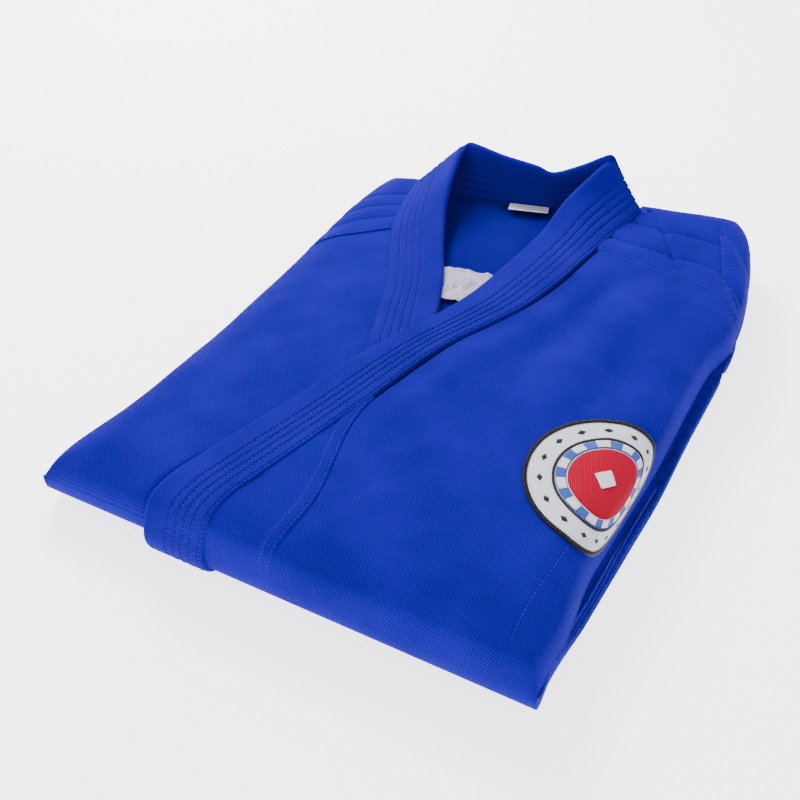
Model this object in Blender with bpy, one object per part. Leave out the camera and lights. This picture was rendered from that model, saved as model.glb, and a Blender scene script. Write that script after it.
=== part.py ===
"""A martial arts jacket, folded for the shelf.

The sides and sleeves are folded behind the back, and the skirt is folded under the chest along the near
edge. The frame is metres, +Z up, with the origin under the middle of the folded stack. +X runs along the
near fold to the wearer's left and +Y runs from that fold to the collar.
The skirt half lies on the table, and the chest half turns about the near fold.
"""

import math

import bpy
from mathutils import Matrix, Vector

# Driving dimensions
NEAR = -0.2405  # y of the near fold
FOLD_Y = -0.2410  # the line that the chest half turns about, just outside the fold
FOLD_Z = 0.024  # the height where the chest half meets the skirt half
CHEST_RISE = 0.017  # top of the back panel above that height
SKIRT_END = 0.076  # y of the skirt's hem, folded under
FAR_MIDDLE = 0.2150  # y of the far edge at x = 0
FAR_SLOPE = 0.16  # the far edge runs askew by this slope
ROUND = 0.030  # how far in from an edge the stack is rounded
RIM_RISE = 1.6  # how fast a layer reaches its full height in from the rim
SAG, SAG_FROM, SAG_OVER = 0.22, 0.05, 0.15  # the share that the far end sinks, from this y over this length

CLOTH = 0.0034  # a doubled layer of woven cotton with the air it holds
RIGHT_CLOTH = 0.0026
GAP = 0.0004  # between neighbouring layers
RIM = 0.0030  # height of the stack's rim, at its outer edge
RIGHT_FRONT_TOP = 0.0043  # above the back panel
LEFT_FRONT_TOP = 0.0116
YOKE_THICK = 0.0024

BAND_THICK = 0.0060  # a lapel: a strip of cloth folded round a core
BAND_PLY = 0.0013
LEFT_BAND_MID = 0.0109  # above the back panel
RIGHT_BAND_MID = 0.0046
BAND_RISE = 0.012  # the band reaches that height over this length from the near fold
BAND_CLEAR = BAND_THICK * 0.56  # of the band's middle from the plane of the fold

LABEL_WIDTH, LABEL_LENGTH, LABEL_THICK = 0.032, 0.014, 0.0008
LABEL_X, LABEL_Y, LABEL_TURN = -0.0245, 0.1878, math.radians(15)  # middle of its sewn edge
PATCH_WIDTH, PATCH_LENGTH, PATCH_THICK = 0.050, 0.040, 0.0008
PATCH_X, PATCH_Y, PATCH_TURN = -0.020, 0.047, math.radians(12)
BADGE_X, BADGE_Y = 0.1430, -0.1040  # it bends down over the side, so x is counted along the cloth
BADGE_EDGE, BADGE_GROUND = 0.0525, 0.0492  # outer radius of the edging and of the ground cloth
BADGE_RING = (0.0340, 0.0358)
BADGE_DISC, BADGE_DIAMOND = 0.0270, 0.0105
BADGE_STEPS = 28

SKIRT_ROUND = 0.022
SKIRT_LAYER = 0.0040
SKIRT_BACK_LAYER = 0.0036
SKIRT_LEVELS = (0.0064, 0.0125, 0.0172)  # undersides: right front, back, side folds

RIGHT_NEAR, RIGHT_NEAR_STEP = -0.2335, 0.0265  # the right front's near end, and how far it steps back in
STEP_X, STEP_WIDTH = -0.112, 0.022  # where that step is
RAMP_X, RAMP_WIDTH = -0.119, 0.018  # where the right skirt climbs on to the left lapel's tail
LEFT_SKIRT_X, RIGHT_SKIRT_X = -0.0500, 0.0170  # where the two skirts' fronts end, at the lapels' tails
LEFT_TAIL = (-0.0920, -0.0515)  # x of each lapel tail's two edges
RIGHT_TAIL = (0.0185, 0.0590)
LEFT_TAIL_START, RIGHT_TAIL_START = NEAR + 0.004, -0.2120
TAIL_STEPS = 16

# The outline: x of each side at a height y
LEFT_EDGE = ((-0.240, -0.172), (-0.215, -0.172), (-0.155, -0.165), (-0.085, -0.160), (0.020, -0.160),
             (0.120, -0.162), (0.180, -0.158), (0.240, -0.146))
RIGHT_EDGE = ((-0.240, 0.146), (-0.190, 0.150), (-0.110, 0.158), (-0.060, 0.163), (0.000, 0.166),
              (0.080, 0.171), (0.130, 0.169), (0.200, 0.158), (0.240, 0.140))

# The long band that edges both fronts and the neck: the seam's points, then the free edge's (x, y, lift)
LEFT_SEAM = ((-0.052, -0.2365, 0.0), (-0.049, -0.220, 0.0), (-0.038, -0.180, 0.0), (-0.019, -0.112, 0.0),
             (-0.001, -0.044, 0.0), (0.018, -0.003, 0.0), (0.032, 0.028, 0.0), (0.043, 0.069, 0.0),
             (0.050, 0.113, 0.0), (0.057, 0.157, 0.0), (0.0635, 0.200, 0.0))
LEFT_FREE = ((-0.092, -0.2365, 0.0), (-0.091, -0.222, 0.0), (-0.080, -0.180, 0.0), (-0.060, -0.118, 0.0),
             (-0.041, -0.060, 0.0), (-0.022, -0.015, 0.0), (-0.009, 0.023, 0.0), (0.000, 0.074, 0.0),
             (0.008, 0.123, 0.0045), (0.014, 0.163, 0.018), (0.030, 0.205, 0.037))
RIGHT_SEAM = ((0.018, -0.212, 0.0), (-0.014, -0.135, 0.0), (-0.048, -0.056, 0.0),
              (-0.071, 0.016, 0.0), (-0.090, 0.058, 0.0), (-0.106, 0.095, 0.0), (-0.116, 0.135, 0.0),
              (-0.121, 0.170, 0.0))
RIGHT_FREE = ((0.061, -0.200, 0.0), (0.026, -0.115, 0.0), (-0.009, -0.035, 0.0),
              (-0.036, 0.040, 0.0), (-0.056, 0.084, 0.006), (-0.070, 0.118, 0.016), (-0.080, 0.153, 0.028),
              (-0.0865, 0.189, 0.037))
NECK_SEAM = ((0.048, 0.2120, 0.0400), (0.012, 0.2030, 0.0380), (-0.020, 0.1950, 0.0375),
             (-0.052, 0.1860, 0.0370), (-0.098, 0.1780, 0.0370))
NECK_FREE = ((0.037, 0.2150, 0.0850), (0.014, 0.2060, 0.0780), (-0.020, 0.1960, 0.0730),
             (-0.052, 0.1920, 0.0750), (-0.083, 0.1970, 0.0780))

LEFT_YOKE = (0.055, 0.122, -0.34)  # a point of the yoke's seam, x and y, and the seam's slope
RIGHT_YOKE = (-0.106, 0.088, 0.80)
OKUMI_WIDTH, OKUMI_TAPER = 0.044, 0.12  # the overlap panel narrows to nothing over this length
LEFT_OKUMI_TAPER_Y, RIGHT_OKUMI_TAPER_Y = -0.104, -0.080  # y where it has narrowed to nothing
LEFT_OKUMI_FAR, RIGHT_OKUMI_FAR = -0.112, -0.088
SEAM_GAP = 0.0010  # between the cloth on the two sides of a seam

BACK_INSET = 0.017  # the back panel ends this far inside the outline
FOLD_INSET = 0.019  # and the folded sides and sleeves end here
LEFT_FOLD_EDGE, RIGHT_FOLD_EDGE = 0.0010, -0.0010  # x where the folded sides meet, at the middle
SLEEVE_END, CUFF = -0.070, 0.028
GUSSET, GUSSET_X, GUSSET_Y = 0.040, 0.118, 0.035
VENT_PATCH, VENT_X, VENT_Y = 0.040, 0.122, 0.040
SKIRT_INNER_END = -0.200
BACK_NEAR, SIDE_NEAR = 0.024, 0.020  # how far the back panel and the side folds stop short of the near fold
BACK_FAR, SIDE_FAR, SLEEVE_FAR = 0.0130, 0.027, 0.020  # and of the far edge
BACK_DROP = 0.0012  # the panel's upper face under the layers' common base

# Shares of the height from the fold plane up to the back panel's top: underside and upper face of each layer
BACK_LOW = 0.72
SIDE_LOW, SIDE_HIGH = 0.44, 0.62
GUSSET_LOW, GUSSET_HIGH = 0.37, 0.40
CUFF_LOW, CUFF_HIGH = 0.03, 0.35
SLEEVE_HIGH = 0.33
SLEEVE_DROP_FROM, SLEEVE_DROP_OVER = 0.006, 0.012  # past the skirt's hem the sleeve hangs down

# Heights over the left front: underside and upper face of each piece of the badge
BADGE_BASE, GROUND_TOP, EDGING_TOP = 0.0003, 0.0011, 0.0020
RAISED, RING_TOP, FIELD_TOP, DISC_TOP = 0.0014, 0.0019, 0.0018, 0.0021
DIAMOND_LOW, DIAMOND_TOP = 0.0024, 0.0030
DIAMOND_SHIFT = 0.004

BLUE = (0.012, 0.045, 0.52)
DEEP_BLUE = (0.010, 0.035, 0.40)


def smoothstep(value):
    value = min(max(value, 0.0), 1.0)
    return value * value * (3 - 2 * value)


def along(table, where):
    """The smooth curve through the table's rows, read at `where` on the first column."""
    row = 0
    while row < len(table) - 2 and where > table[row + 1][0]:
        row += 1
    low, high = table[row], table[row + 1]
    before, after = table[max(row - 1, 0)], table[min(row + 2, len(table) - 1)]
    span = high[0] - low[0]
    t = min(max((where - low[0]) / span, 0.0), 1.0)
    values = []
    for column in range(1, len(low)):
        slope_low = (high[column] - before[column]) / (high[0] - before[0]) * span
        slope_high = (after[column] - low[column]) / (after[0] - low[0]) * span
        values.append((2 * t**3 - 3 * t**2 + 1) * low[column] + (t**3 - 2 * t**2 + t) * slope_low
                      + (3 * t**2 - 2 * t**3) * high[column] + (t**3 - t**2) * slope_high)
    return values[0] if len(values) == 1 else values


def by_length(points, share):
    """The point at this share of the curve through the points, which are evenly numbered."""
    table = [(i / (len(points) - 1), *point) for i, point in enumerate(points)]
    return Vector(along(table, share))


def left_x(y):
    return along(LEFT_EDGE, y)


def right_x(y):
    return along(RIGHT_EDGE, y)


def far_y(x):
    return FAR_MIDDLE + FAR_SLOPE * x


def right_near(x):
    """y of the right front's near end: it stops short of the fold where the left front covers it."""
    return RIGHT_NEAR + RIGHT_NEAR_STEP * smoothstep((x - STEP_X) / STEP_WIDTH)


def rounding(distance):
    """1 inside the stack, falling on a quarter circle to 0 at its edge."""
    reach = min(max(distance / ROUND, 0.0), 1.0)
    return math.sqrt(1 - (1 - reach) ** 2)


def edge_factor(x, y):
    factor = rounding(x - left_x(y)) * rounding(right_x(y) - x) * rounding(y - NEAR)
    return factor * rounding(far_y(x) - y)


def sag(y):
    """The far end lies lower than the rest, past the skirt's hem."""
    return 1 - SAG * smoothstep((y - SAG_FROM) / SAG_OVER)


def back_top(x, y):
    """Height of the back panel's upper face."""
    return FOLD_Z + CHEST_RISE * sag(y) * edge_factor(x, y)


def layer_top(rise):
    """The height function of a face that lies `rise` over the back panel, with a rim at the edge."""

    def height(x, y):
        return back_top(x, y) + RIM + (rise - RIM) * smoothstep(RIM_RISE * edge_factor(x, y))

    return height


def shell_below(top, thick=CLOTH):
    """The inner face of a shell: under its top, and clear of the back panel out to the rim."""

    def height(x, y):
        return max(back_top(x, y) + 0.0006, top(x, y) - thick)

    return height


def share_of_chest(share):
    """A face between the fold plane and the underside of the back panel."""

    def height(x, y):
        return FOLD_Z + GAP + share * (back_top(x, y) - FOLD_Z - GAP)

    return height


def flat(height):
    return lambda x, y: height


def cloth_material(name, colour, roughness=0.85):
    material = bpy.data.materials.new(name)
    material.use_nodes = True
    shader = material.node_tree.nodes["Principled BSDF"]
    shader.inputs["Base Color"].default_value = (*colour, 1.0)
    shader.inputs["Roughness"].default_value = roughness
    shader.inputs["Metallic"].default_value = 0.0
    return material


def add_node(name, points, faces, material, origin=(0, 0, 0)):
    origin = Vector(origin)
    mesh = bpy.data.meshes.new(name)
    mesh.from_pydata([tuple(Vector(point) - origin) for point in points], [], faces)
    mesh.materials.append(material)
    mesh.update()
    node = bpy.data.objects.new(name, mesh)
    node.location = origin
    bpy.context.scene.collection.objects.link(node)
    return node


def slab(name, region, top, bottom, material, cells=(8, 8), origin=(0, 0, 0)):
    """A closed solid between two height functions. region(u, v) gives x and y for u and v from 0 to 1."""
    nu, nv = cells
    plan = [region(i / nu, j / nv) for j in range(nv + 1) for i in range(nu + 1)]
    points = [(x, y, top(x, y)) for x, y in plan] + [(x, y, bottom(x, y)) for x, y in plan]
    below = len(plan)

    def at(i, j):
        return j * (nu + 1) + i

    faces = []
    for j in range(nv):
        for i in range(nu):
            quad = (at(i, j), at(i + 1, j), at(i + 1, j + 1), at(i, j + 1))
            faces.append((quad[0], quad[1], quad[2]))
            faces.append((quad[0], quad[2], quad[3]))
            faces.append((quad[2] + below, quad[1] + below, quad[0] + below))
            faces.append((quad[3] + below, quad[2] + below, quad[0] + below))
    rim = [at(i, 0) for i in range(nu)] + [at(nu, j) for j in range(nv)]
    rim += [at(i, nv) for i in range(nu, 0, -1)] + [at(0, j) for j in range(nv, 0, -1)]
    for here, after in zip(rim, rim[1:] + rim[:1]):
        faces.append((here, here + below, after + below))
        faces.append((here, after + below, after))
    return add_node(name, points, faces, material, origin)


def strip(name, stations, section, material):
    """A closed solid along a band. Each station is (seam point, free point, normal), and section is a ring
    of (share of the width from the seam, height along the normal)."""
    points = []
    for seam, free, normal in stations:
        points += [tuple(seam + (free - seam) * share + normal * height) for share, height in section]
    ring = len(section)
    faces = []
    for row in range(len(stations) - 1):
        for k in range(ring):
            a, b = row * ring + k, row * ring + (k + 1) % ring
            # The same diagonal on every layer, so that a twisted band's layers stay parallel
            if section[k][0] < section[(k + 1) % ring][0]:
                faces += [(a, b, b + ring), (a, b + ring, a + ring)]
            else:
                faces += [(a, b, a + ring), (b, b + ring, a + ring)]
    faces.append(tuple(range(ring - 1, -1, -1)))
    last = (len(stations) - 1) * ring
    faces.append(tuple(last + k for k in range(ring)))
    return add_node(name, points, faces, material)


def facing_section(thick):
    """The cloth folded round the core: a U that opens at the seam."""
    half, edge = thick / 2, 0.965
    inner = half - BAND_PLY
    outside = ((0, -half), (1, -half), (1, half), (0, half))
    return outside + ((0, inner), (edge, inner), (edge, -inner), (0, -inner))


def core_section(thick):
    half = thick / 2 - BAND_PLY - GAP
    return ((0, -half), (0.95, -half), (0.95, half), (0, half))


def band_stations(seam, free, count):
    """Stations from the points themselves, with normals square to the run and to the width."""
    rows = [(by_length(seam, i / count), by_length(free, i / count)) for i in range(count + 1)]
    stations = []
    for i, (low, high) in enumerate(rows):
        before, after = rows[max(i - 1, 0)], rows[min(i + 1, count)]
        run = (after[0] + after[1]) - (before[0] + before[1])
        stations.append((low, high, run.cross(high - low).normalized()))
    return stations


def on_stack(points, mid):
    """Band points laid on the stack: the third value is a lift over the back panel and the middle height."""
    placed = []
    for x, y, lift in points:
        laid = back_top(x, y) + lift + mid * smoothstep((y - NEAR) / BAND_RISE)
        placed.append((x, y, max(laid, FOLD_Z + BAND_CLEAR)))
    return placed


def turned(points):
    return tuple(reversed(points))


def seam_x(points, y):
    """x of a band's seam or free edge where it crosses y."""
    return along(sorted((row[1], row[0]) for row in points), y)


def between(low_x, high_x, low_y, high_y):
    """The plan region between two sides x(y) and two ends y(x)."""

    def region(u, v):
        first_y = low_y(0.0) + v * (high_y(0.0) - low_y(0.0))
        x = low_x(first_y) + u * (high_x(first_y) - low_x(first_y))
        y = low_y(x) + v * (high_y(x) - low_y(x))
        x = low_x(y) + u * (high_x(y) - low_x(y))
        return x, y

    return region


def build_fronts(blue):
    """The two fronts, the overlap panel and the shoulder reinforcements of the chest half."""
    left_top, right_top = layer_top(LEFT_FRONT_TOP), layer_top(RIGHT_FRONT_TOP)

    def left_yoke_seam(x):
        return LEFT_YOKE[1] + LEFT_YOKE[2] * (x - LEFT_YOKE[0])

    def right_yoke_seam(x):
        return RIGHT_YOKE[1] + RIGHT_YOKE[2] * (x - RIGHT_YOKE[0])

    def band_outside(y):
        return seam_x(LEFT_SEAM, y) + 0.0018

    def okumi_seam(y):
        return band_outside(y) + 0.0008 + OKUMI_WIDTH * smoothstep((LEFT_OKUMI_TAPER_Y - y) / OKUMI_TAPER)

    def near(x):
        return NEAR

    def far(x):
        return far_y(x) - 0.0005

    slab("left_okumi_panel", between(band_outside, okumi_seam, near, flat_y(LEFT_OKUMI_FAR)),
         left_top, shell_below(left_top), blue, (2, 8))
    slab("left_front_panel",
         between(lambda y: max(okumi_seam(y), band_outside(y)) + SEAM_GAP, right_x, near,
                 lambda x: left_yoke_seam(x) - GAP),
         left_top, shell_below(left_top), blue, (9, 16))
    slab("left_shoulder_yoke", between(band_outside, right_x, left_yoke_seam, far),
         left_top, shell_below(left_top, YOKE_THICK), blue, (8, 8))

    def band_inside(y):
        return seam_x(RIGHT_SEAM, y) - 0.0012

    def right_okumi_seam(y):
        return band_inside(y) - 0.0008 - OKUMI_WIDTH * smoothstep((RIGHT_OKUMI_TAPER_Y - y) / OKUMI_TAPER)

    slab("right_front_panel",
         between(left_x, lambda y: min(right_okumi_seam(y), band_inside(y)) - SEAM_GAP, right_near,
                 lambda x: right_yoke_seam(x) - GAP),
         right_top, shell_below(right_top, RIGHT_CLOTH), blue, (9, 14))
    slab("right_okumi_panel",
         between(right_okumi_seam, band_inside, flat_y(RIGHT_TAIL_START), flat_y(RIGHT_OKUMI_FAR)),
         right_top, shell_below(right_top, RIGHT_CLOTH), blue, (2, 6))
    slab("right_shoulder_yoke", between(left_x, band_inside, right_yoke_seam, far),
         right_top, shell_below(right_top, YOKE_THICK), blue, (4, 7))


def flat_y(value):
    return lambda x: value


def build_bands(blue, core_colour):
    """The lapels and the back-neck band: each a folded facing round a quilted core."""
    left = band_stations(on_stack(LEFT_SEAM, LEFT_BAND_MID), on_stack(LEFT_FREE, LEFT_BAND_MID), 26)
    right = band_stations(turned(on_stack(RIGHT_SEAM, RIGHT_BAND_MID)),
                          turned(on_stack(RIGHT_FREE, RIGHT_BAND_MID)), 24)
    neck = band_stations(NECK_SEAM, NECK_FREE, 10)
    for side, stations in (("left_lapel", left), ("back_neck", neck), ("right_lapel", right)):
        strip(f"{side}_facing", stations, facing_section(BAND_THICK), blue)
        strip(f"{side}_core", stations, core_section(BAND_THICK), core_colour)


def build_inside(blue, white):
    """The back panel, and the sides and sleeves that are folded behind it."""

    def inset(edge, amount):
        return lambda y: edge(y) + amount

    def far(x):
        return far_y(x) - BACK_FAR

    slab("back_panel",
         between(inset(left_x, BACK_INSET), inset(right_x, -BACK_INSET), flat_y(NEAR + BACK_NEAR), far),
         lambda x, y: back_top(x, y) - BACK_DROP, share_of_chest(BACK_LOW), blue, (10, 14))

    for side, middle, outer in (("left", LEFT_FOLD_EDGE, inset(right_x, -FOLD_INSET)),
                                ("right", RIGHT_FOLD_EDGE, inset(left_x, FOLD_INSET))):
        inner = flat_y(middle)
        sides = (inner, outer) if side == "left" else (outer, inner)
        slab(f"{side}_side_fold", between(*sides, flat_y(NEAR + SIDE_NEAR), lambda x: far_y(x) - SIDE_FAR),
             share_of_chest(SIDE_HIGH), share_of_chest(SIDE_LOW), blue, (5, 12))
        slab(f"{side}_sleeve", between(*sides, flat_y(SLEEVE_END), lambda x: far_y(x) - SLEEVE_FAR),
             share_of_chest(SLEEVE_HIGH), sleeve_bottom, blue, (4, 24))
        slab(f"{side}_sleeve_cuff", between(*sides, flat_y(SLEEVE_END - CUFF), flat_y(SLEEVE_END - 0.0010)),
             share_of_chest(CUFF_HIGH), share_of_chest(CUFF_LOW), blue, (4, 2))
        gusset_x = GUSSET_X * (1 if side == "left" else -1)
        slab(f"{side}_underarm_gusset", tilted(gusset_x, GUSSET_Y, math.radians(45), GUSSET, GUSSET),
             share_of_chest(GUSSET_HIGH), share_of_chest(GUSSET_LOW), blue, (3, 3))

    def on_back(rise):
        return lambda x, y: back_top(x, y) + rise

    slab("size_patch", tilted(PATCH_X, PATCH_Y, PATCH_TURN, PATCH_WIDTH, PATCH_LENGTH),
         on_back(GAP + PATCH_THICK), on_back(GAP), white, (5, 4))
    hinge = label_hinge()
    slab("neck_label", label_region, on_back(GAP + LABEL_THICK), on_back(GAP), white, (3, 3), hinge)


def sleeve_bottom(x, y):
    """The sleeve lies on the skirt half, and past the skirt's hem it hangs down to the table."""
    drop = min(max((y - SKIRT_END - SLEEVE_DROP_FROM) / SLEEVE_DROP_OVER, 0.0), 1.0)
    return share_of_chest(CUFF_LOW)(x, y) * (1 - drop)


def tilted(x, y, turn, width, length):
    """A turned rectangle about its middle."""

    def region(u, v):
        across, up = (u - 0.5) * width, (v - 0.5) * length
        return (x + across * math.cos(turn) - up * math.sin(turn),
                y + across * math.sin(turn) + up * math.cos(turn))

    return region


def label_region(u, v):
    across, down = (u - 0.5) * LABEL_WIDTH, (1 - v) * LABEL_LENGTH
    return (LABEL_X + across * math.cos(LABEL_TURN) + down * math.sin(LABEL_TURN),
            LABEL_Y + across * math.sin(LABEL_TURN) - down * math.cos(LABEL_TURN))


def label_hinge():
    return LABEL_X, LABEL_Y, back_top(LABEL_X, LABEL_Y) + GAP + LABEL_THICK / 2


def over_side(x, y):
    """Where cloth that reaches x along the surface lies, once it bends down over the rounded side."""
    start = right_x(y) - ROUND
    if x <= start:
        return x, y
    return start + (ROUND - 0.0012) * math.tanh((x - start) / (ROUND - 0.0012)), y


def round_piece(name, radii, low, high, material):
    """A disc, or a ring where the first radius is over 0, laid on the left front at the badge."""
    surface = layer_top(LEFT_FRONT_TOP)
    plan = []
    for radius in radii:
        for k in range(BADGE_STEPS if radius else 1):
            angle = 2 * math.pi * k / BADGE_STEPS
            plan.append(over_side(BADGE_X + radius * math.cos(angle), BADGE_Y + radius * math.sin(angle)))
    points = [(x, y, surface(x, y) + high) for x, y in plan] + [(x, y, surface(x, y) + low) for x, y in plan]
    below = len(plan)
    first = 0 if radii[0] else 1 - BADGE_STEPS
    faces = []
    for k in range(BADGE_STEPS):
        after = (k + 1) % BADGE_STEPS
        for ring in range(len(radii) - 1):
            inner, outer = first + ring * BADGE_STEPS, first + (ring + 1) * BADGE_STEPS
            if inner < 0:
                faces += [(0, outer + k, outer + after), (below, outer + after + below, outer + k + below)]
                continue
            a, b, c, d = inner + k, inner + after, outer + after, outer + k
            faces += [(a, d, c), (a, c, b)]
            faces += [(a + below, c + below, d + below), (a + below, b + below, c + below)]
        rim = first + (len(radii) - 1) * BADGE_STEPS
        faces.append((rim + k, rim + k + below, rim + after + below))
        faces.append((rim + k, rim + after + below, rim + after))
        if radii[0]:
            faces += [(after, after + below, k + below), (after, k + below, k)]
    return add_node(name, points, faces, material)


def build_badge(white, black, pale_blue, red):
    """The embroidered badge: ground cloth, edging, a thin ring, and a disc with a small diamond."""
    ground_rings = (0, 0.009, 0.018, 0.027, 0.035, 0.042, BADGE_GROUND)
    round_piece("badge_ground", ground_rings, BADGE_BASE, GROUND_TOP, white)
    round_piece("badge_edging", (BADGE_GROUND + GAP, BADGE_EDGE), BADGE_BASE, EDGING_TOP, black)
    round_piece("badge_ring", BADGE_RING, RAISED, RING_TOP, black)
    round_piece("badge_field", (BADGE_DISC + GAP, BADGE_RING[0] - GAP), RAISED, FIELD_TOP, pale_blue)
    round_piece("badge_disc", (0, 0.009, 0.018, BADGE_DISC), RAISED, DISC_TOP, red)
    surface = layer_top(LEFT_FRONT_TOP)

    def region(u, v):
        x, y = tilted(BADGE_X - DIAMOND_SHIFT, BADGE_Y, math.radians(45), BADGE_DIAMOND, BADGE_DIAMOND)(u, v)
        return over_side(x, y)

    slab("badge_diamond", region, lambda x, y: surface(x, y) + DIAMOND_TOP,
         lambda x, y: surface(x, y) + DIAMOND_LOW, white, (2, 2))


def build_skirt(blue, core_colour):
    """The skirt, folded under: it lies on the table with the left front lowest."""
    right_z, back_z, side_z = SKIRT_LEVELS

    def lift(x, y):
        """The cloth turns up to meet the chest half along the near fold."""
        reach = min(max((y - NEAR) / SKIRT_ROUND, 0.0), 1.0)
        return (FOLD_Z - RIM - GAP) * (1 - math.sqrt(1 - (1 - reach) ** 2))

    def over(low, thick):
        return lambda x, y: min(low(x, y) + thick, FOLD_Z - GAP)

    def right_low(x, y):
        return max(lift(x, y + NEAR - RIGHT_NEAR), right_z * smoothstep((x - RAMP_X) / RAMP_WIDTH))

    hem = flat_y(SKIRT_END)
    slab("left_front_skirt", between(flat_y(LEFT_SKIRT_X), lambda y: right_x(y) - 0.004, flat_y(NEAR), hem),
         over(lift, SKIRT_LAYER), lift, blue, (5, 16))
    slab("right_front_skirt", between(lambda y: left_x(y) + 0.002, flat_y(RIGHT_SKIRT_X), right_near, hem),
         over(right_low, SKIRT_LAYER), right_low, blue, (14, 12))
    tails = (("left_lapel_tail", LEFT_TAIL, LEFT_TAIL_START, lift),
             ("right_lapel_tail", RIGHT_TAIL, RIGHT_TAIL_START, flat(right_z)))
    for name, (low_x, high_x), first, low in tails:
        stations = []
        for i in range(TAIL_STEPS + 1):
            y = first + (SKIRT_END - first) * i / TAIL_STEPS
            middle = min(low(0, y) + BAND_THICK / 2, FOLD_Z - BAND_CLEAR)
            stations.append((Vector((high_x, y, middle)), Vector((low_x, y, middle)), Vector((0, 0, 1))))
        strip(f"{name}_facing", stations, facing_section(BAND_THICK), blue)
        strip(f"{name}_core", stations, core_section(BAND_THICK), core_colour)
    slab("back_skirt",
         between(lambda y: left_x(y) + 0.010, lambda y: right_x(y) - 0.010, flat_y(SKIRT_INNER_END),
                 flat_y(SKIRT_END - 0.003)),
         flat(back_z + SKIRT_BACK_LAYER), flat(back_z), blue, (4, 6))
    for side, middle, outer in (("left", LEFT_FOLD_EDGE, lambda y: right_x(y) - 0.012),
                                ("right", RIGHT_FOLD_EDGE, lambda y: left_x(y) + 0.012)):
        sides = (flat_y(middle), outer) if side == "left" else (outer, flat_y(middle))
        slab(f"{side}_side_skirt", between(*sides, flat_y(SKIRT_INNER_END), flat_y(SKIRT_END - 0.006)),
             flat(FOLD_Z - GAP), flat(side_z), blue, (3, 6))
        patch_x = VENT_X * (1 if side == "left" else -1)
        slab(f"{side}_vent_patch", tilted(patch_x, VENT_Y, 0.0, VENT_PATCH, VENT_PATCH),
             flat(side_z - GAP / 2), flat(back_z + SKIRT_BACK_LAYER + GAP / 2), blue, (1, 1))


def hang_on_fold():
    """Everything made so far turns about the near fold."""
    pivot = bpy.data.objects.new("near_fold_pivot", None)
    pivot.location = (0.0, FOLD_Y, FOLD_Z)
    for node in list(bpy.context.scene.collection.objects):
        node.parent = pivot
        node.matrix_parent_inverse = Matrix.Translation(-pivot.location)
    bpy.context.scene.collection.objects.link(pivot)


def main():
    for leftover in list(bpy.data.objects):
        bpy.data.objects.remove(leftover)
    blue = cloth_material("royal_blue_cotton", BLUE)
    inner_blue = cloth_material("inner_blue_cotton", DEEP_BLUE)
    white = cloth_material("white_satin", (0.78, 0.79, 0.82), 0.5)
    black = cloth_material("black_thread", (0.012, 0.011, 0.014), 0.7)
    pale_blue = cloth_material("pale_blue_thread", (0.10, 0.24, 0.72), 0.6)
    red = cloth_material("red_thread", (0.62, 0.012, 0.035), 0.6)
    build_fronts(blue)
    build_bands(blue, inner_blue)
    build_inside(blue, white)
    build_badge(white, black, pale_blue, red)
    hang_on_fold()
    build_skirt(blue, inner_blue)


main()
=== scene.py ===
"""The looks of a folded martial arts jacket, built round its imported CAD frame.

The jacket lies front up with its collar at the far end. Its sides and sleeves are folded behind the back,
and its skirt is folded under along the near edge. Metres, +Z up, the same frame as the CAD.
"""

import math

import bpy
import numpy as np
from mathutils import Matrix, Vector


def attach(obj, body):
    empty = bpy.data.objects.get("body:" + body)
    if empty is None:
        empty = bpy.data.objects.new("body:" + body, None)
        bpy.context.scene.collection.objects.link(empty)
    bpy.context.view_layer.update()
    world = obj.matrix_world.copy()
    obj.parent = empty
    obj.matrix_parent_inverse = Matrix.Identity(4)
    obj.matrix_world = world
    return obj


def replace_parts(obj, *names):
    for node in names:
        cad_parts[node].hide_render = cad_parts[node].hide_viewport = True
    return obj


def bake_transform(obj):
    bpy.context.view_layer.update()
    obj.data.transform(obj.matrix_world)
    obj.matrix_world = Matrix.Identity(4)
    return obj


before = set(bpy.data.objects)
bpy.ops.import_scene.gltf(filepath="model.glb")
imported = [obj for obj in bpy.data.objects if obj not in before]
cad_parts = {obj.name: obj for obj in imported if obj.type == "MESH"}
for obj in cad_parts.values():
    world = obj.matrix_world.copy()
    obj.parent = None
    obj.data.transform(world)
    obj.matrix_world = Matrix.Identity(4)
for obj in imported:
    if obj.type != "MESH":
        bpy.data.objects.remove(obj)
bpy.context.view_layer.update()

# ---- Driving dimensions, the CAD's own ----
NEAR = -0.2405
FOLD_Z = 0.024
CHEST_RISE = 0.017
SKIRT_END = 0.076
FAR_MIDDLE, FAR_SLOPE = 0.2150, 0.16
ROUND = 0.030
CLOTH = 0.0034
RIGHT_NEAR = -0.2335  # the right front's own near edge
RIGHT_STEP, STEP_X, STEP_WIDTH = 0.0265, -0.099, 0.015  # that edge steps back in from the left side
RIGHT_RISE, LEFT_RISE = 0.0043, 0.0116
RIM, FOLD_RIM = 0.0030, 0.0004  # height of the stack's rim, and of the same rim at the near fold
RIM_RISE = 1.6  # how fast a layer reaches its full height in from the rim
SAG, SAG_FROM, SAG_OVER = 0.22, 0.05, 0.15  # the share that the far end sinks, from this y over this length
RIGHT_CLOTH, YOKE_CLOTH, THIN_CLOTH = 0.0026, 0.0024, 0.0006
HAIR = 0.0002  # the smallest gap between two cloths
STAND_IN = 0.0065  # how far the left front's side stands in from the layers under it
BAND = 0.0060
LEFT_MID, LEFT_MID_LOW, RIGHT_MID = 0.0109, 0.0080, 0.0046
SLEEVE_END, CUFF = -0.070, 0.028

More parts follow.
